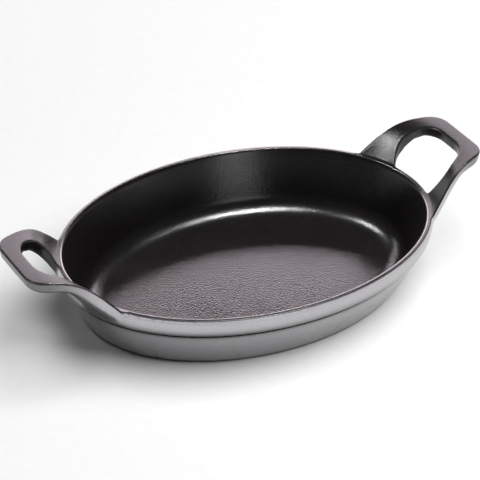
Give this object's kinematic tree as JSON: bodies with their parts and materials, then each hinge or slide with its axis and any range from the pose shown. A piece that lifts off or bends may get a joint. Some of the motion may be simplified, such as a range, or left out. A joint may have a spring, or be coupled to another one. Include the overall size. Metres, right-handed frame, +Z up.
{
  "type": "oval gratin dish",
  "caption": "Oval enamelled cast iron baking dish with sloping walls, a rounded band under the rim and a raised loop handle at each end.",
  "frame": {"origin": "middle of the flat underside, on the surface the dish stands on", "axes": "+X along the length of the oval to one handle, +Y across the dish, +Z up out of the bowl"},
  "size_m": [0.3086, 0.1772, 0.0643],
  "materials": {
    "iron": "raw sand-cast iron, hidden under the enamel",
    "black_enamel": "matt black enamel with a fine grain",
    "graphite_enamel": "glossy graphite grey enamel",
    "base_enamel": "matt black enamel, worn smooth where it stands"
  },
  "bodies": {
    "root": {"iron_casting": "iron", "interior_enamel": "black_enamel", "exterior_enamel": "graphite_enamel", "base_enamel": "base_enamel"}
  },
  "joints": []
}
